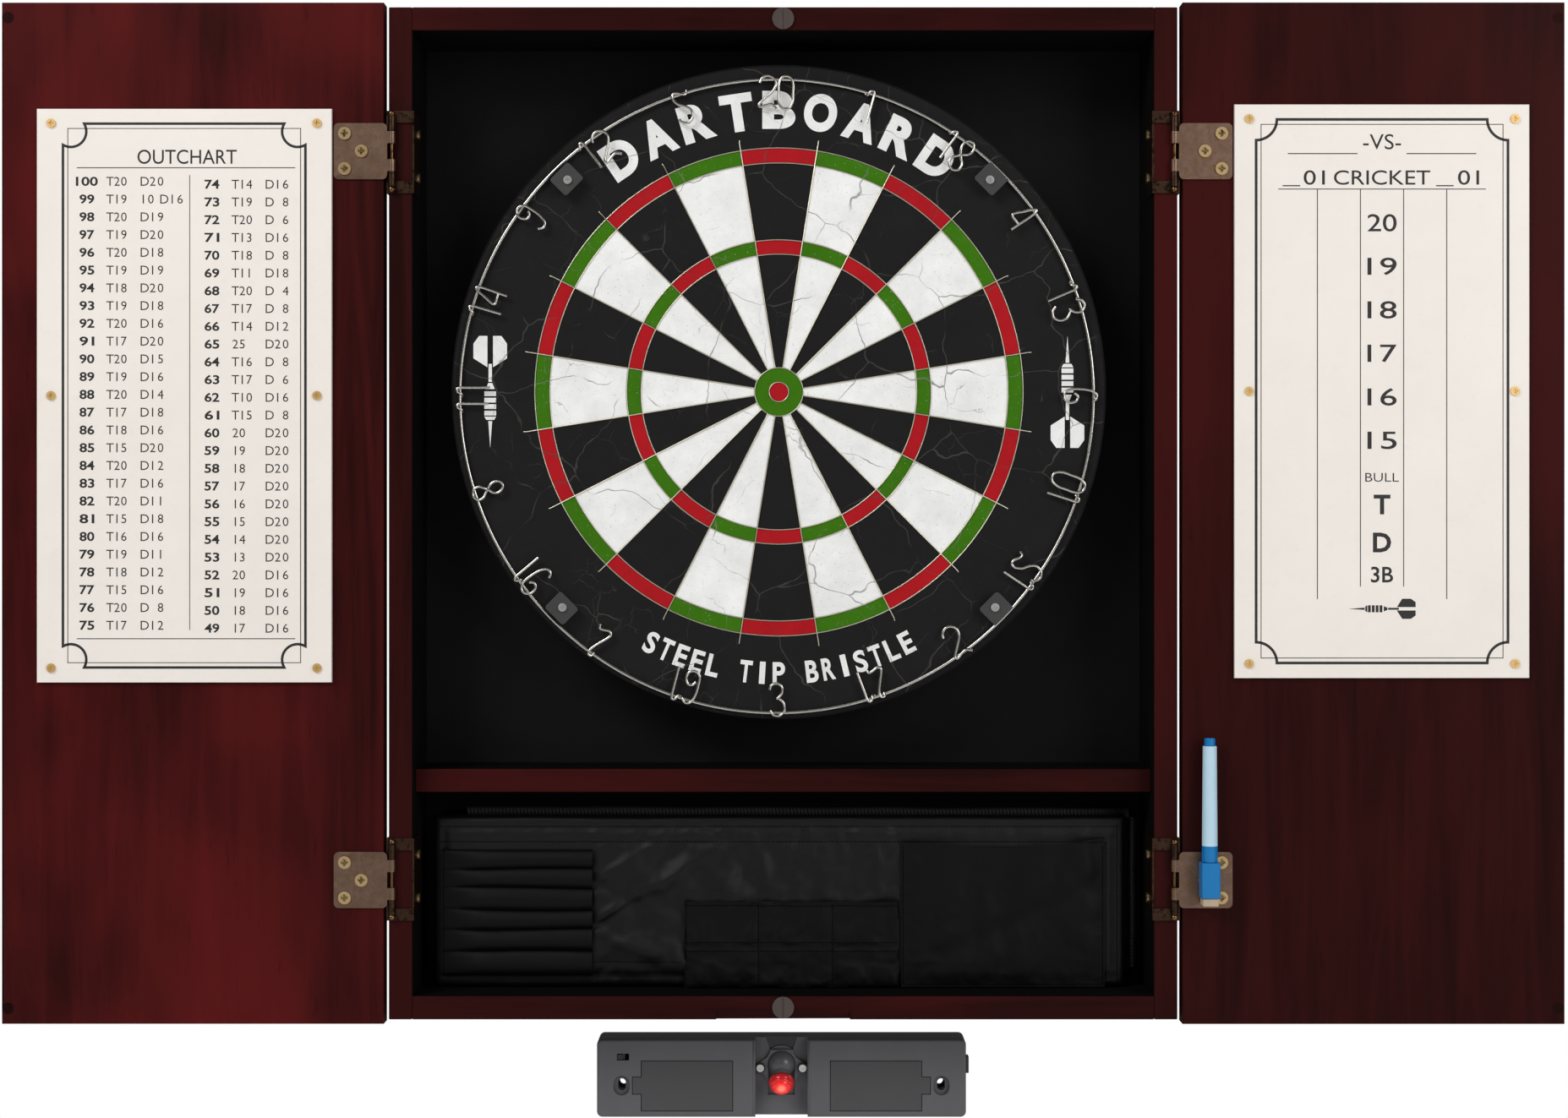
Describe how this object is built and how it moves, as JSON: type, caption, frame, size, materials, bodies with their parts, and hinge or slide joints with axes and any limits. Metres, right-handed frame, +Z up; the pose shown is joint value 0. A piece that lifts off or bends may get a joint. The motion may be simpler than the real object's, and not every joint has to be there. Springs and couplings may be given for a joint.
{
  "type": "dartboard cabinet",
  "caption": "Wall cabinet with a bristle dartboard, two hinged chart doors, a fabric accessory organiser and a laser throw-line unit",
  "frame": {"origin": "on the wall plane, the rear face of the back panel, at the height of the bull's-eye and midway across the cabinet", "axes": "+X to the right, +Z up, +Y towards the wall; the front faces -Y"},
  "size_m": [1.072, 0.095, 0.7765],
  "materials": {
    "case_wood": "dark mahogany stain, satin lacquer",
    "door_wood": "dark mahogany stain with redder clouds, satin lacquer",
    "back_black": "matt black painted hardboard",
    "zinc_steel": "zinc plated",
    "spring_steel": "bright drawn wire",
    "antique_bronze": "antique bronze, edges rubbed bright",
    "catch_plastic": "grey-brown moulded",
    "magnet": "plated magnet",
    "chart_white": "white dry-wipe face on thin board",
    "screw_brass": "bright brass",
    "marker_blue": "moulded",
    "marker_pale": "printed barrel",
    "felt": "pressed felt",
    "sisal": "dyed sisal bristle, sheared flat",
    "fibreboard": "raw fibreboard",
    "rim_steel": "thin rolled band",
    "rubber_pad": "moulded",
    "clip_black": "black lacquer",
    "nylon": "coated black nylon",
    "unit_black": "fine-textured moulding",
    "unit_gloss": "polished moulding",
    "lens_red": "clear red moulding",
    "module_brass": "turned",
    "circuit": "solder-masked laminate",
    "cell_wrap": "sleeved cell"
  },
  "bodies": {
    "cabinet": {"side_panel_left": "case_wood", "side_panel_right": "case_wood", "top_panel": "case_wood", "bottom_panel": "case_wood", "divider_shelf": "case_wood", "back_panel": "back_black", "board_bracket": "zinc_steel", "bracket_screws": "zinc_steel", "catch_housings": "catch_plastic", "catch_magnets": "magnet", "frame_leaves": "antique_bronze", "frame_leaf_screws": "antique_bronze", "hinge_pins": "antique_bronze", "organizer_pad": "nylon", "organizer_dart_sleeves": "nylon", "organizer_small_pockets": "nylon", "organizer_large_pocket": "nylon", "laser_rear_shell": "unit_black", "laser_front_shell": "unit_black", "ball_retainer": "unit_black", "retainer_screws": "zinc_steel", "circuit_board": "circuit", "batteries": "cell_wrap"},
    "left_door": {"left_door": "door_wood", "out_chart": "chart_white", "out_chart_screws": "screw_brass", "door_leaves_left": "antique_bronze", "door_leaf_screws_left": "antique_bronze", "strikes_left": "zinc_steel"},
    "right_door": {"right_door": "door_wood", "score_chart": "chart_white", "score_chart_screws": "screw_brass", "door_leaves_right": "antique_bronze", "door_leaf_screws_right": "antique_bronze", "strikes_right": "zinc_steel"},
    "marker_cap": {"marker_cap": "marker_blue", "marker_eraser": "felt"},
    "marker_barrel": {"marker_barrel": "marker_pale", "marker_collar": "marker_blue", "marker_nib": "felt", "marker_plug": "marker_blue"},
    "hanger": {"hang_screw": "zinc_steel"},
    "dartboard": {"backing_board": "fibreboard", "sisal_disc": "sisal", "rim_band": "rim_steel", "board_spacers": "rubber_pad", "spider_wires": "spring_steel", "clip_screws": "zinc_steel"},
    "number_ring": {"number_ring": "spring_steel"},
    "ring_clip_1": {"ring_clip_1": "clip_black"},
    "ring_clip_2": {"ring_clip_2": "clip_black"},
    "ring_clip_3": {"ring_clip_3": "clip_black"},
    "ring_clip_4": {"ring_clip_4": "clip_black"},
    "aiming_ball": {"aiming_ball": "unit_gloss", "laser_module": "module_brass"},
    "laser_lens": {"laser_lens": "lens_red"},
    "battery_door_left": {"battery_door_left": "unit_black"},
    "battery_door_right": {"battery_door_right": "unit_black"},
    "mode_switch": {"mode_switch": "unit_gloss"},
    "power_button": {"power_button": "unit_gloss"}
  },
  "joints": [
    {"name": "left_door_swing", "type": "hinge", "parent": "cabinet", "child": "left_door", "pos_m": [-0.2685, -0.0787, 0], "axis": [0, 0, 1], "range_deg": [0, 180]},
    {"name": "right_door_swing", "type": "hinge", "parent": "cabinet", "child": "right_door", "pos_m": [0.2685, -0.0787, 0], "axis": [0, 0, -1], "range_deg": [0, 180]},
    {"name": "marker_off", "type": "slide", "parent": "right_door", "child": "marker_cap", "axis": [0, 1, 0], "range_m": [-0.06, 0]},
    {"name": "marker_pull", "type": "slide", "parent": "marker_cap", "child": "marker_barrel", "axis": [0, 0, 1], "range_m": [0, 0.05]},
    {"name": "board_lift", "type": "slide", "parent": "cabinet", "child": "hanger", "axis": [0, 0, 1], "range_m": [0, 0.016]},
    {"name": "board_turn", "type": "hinge", "parent": "hanger", "child": "dartboard", "pos_m": [-0.003, -0.015, 0], "axis": [0, 1, 0], "continuous": true},
    {"name": "ring_turn", "type": "hinge", "parent": "dartboard", "child": "number_ring", "pos_m": [-0.0044, -0.0554, -0.0031], "axis": [0, 1, 0], "range_deg": [-3, 3]},
    {"name": "clip_1_swivel", "type": "hinge", "parent": "dartboard", "child": "ring_clip_1", "pos_m": [0.14337, -0.058, 0.14637], "axis": [0, 1, 0], "range_deg": [0, 180]},
    {"name": "clip_2_swivel", "type": "hinge", "parent": "dartboard", "child": "ring_clip_2", "pos_m": [-0.14937, -0.058, 0.14637], "axis": [0, 1, 0], "range_deg": [0, 180]},
    {"name": "clip_3_swivel", "type": "hinge", "parent": "dartboard", "child": "ring_clip_3", "pos_m": [-0.15291, -0.058, -0.14991], "axis": [0, 1, 0], "range_deg": [0, 180]},
    {"name": "clip_4_swivel", "type": "hinge", "parent": "dartboard", "child": "ring_clip_4", "pos_m": [0.14691, -0.058, -0.14991], "axis": [0, 1, 0], "range_deg": [0, 180]},
    {"name": "aim_tilt", "type": "hinge", "parent": "cabinet", "child": "aiming_ball", "pos_m": [-0.0012, -0.018, -0.4749], "axis": [1, 0, 0], "range_deg": [-20, 10]},
    {"name": "lens_twist", "type": "hinge", "parent": "aiming_ball", "child": "laser_lens", "pos_m": [-0.0012, -0.018, -0.4749], "axis": [0, -0.7071, -0.7071], "range_deg": [-90, 90]},
    {"name": "battery_door_left_swing", "type": "hinge", "parent": "cabinet", "child": "battery_door_left", "pos_m": [-0.0358, -0.028, -0.4889], "axis": [0, 0, 1], "range_deg": [0, 75]},
    {"name": "battery_door_right_swing", "type": "hinge", "parent": "cabinet", "child": "battery_door_right", "pos_m": [0.0334, -0.028, -0.4889], "axis": [0, 0, -1], "range_deg": [0, 75]},
    {"name": "mode_slide", "type": "slide", "parent": "cabinet", "child": "mode_switch", "axis": [1, 0, 0], "range_m": [0, 0.004]},
    {"name": "power_press", "type": "slide", "parent": "cabinet", "child": "power_button", "axis": [-1, 0, 0], "range_m": [0, 0.0015], "stiffness_N_per_m": 300, "springref_m": -0.0005}
  ]
}
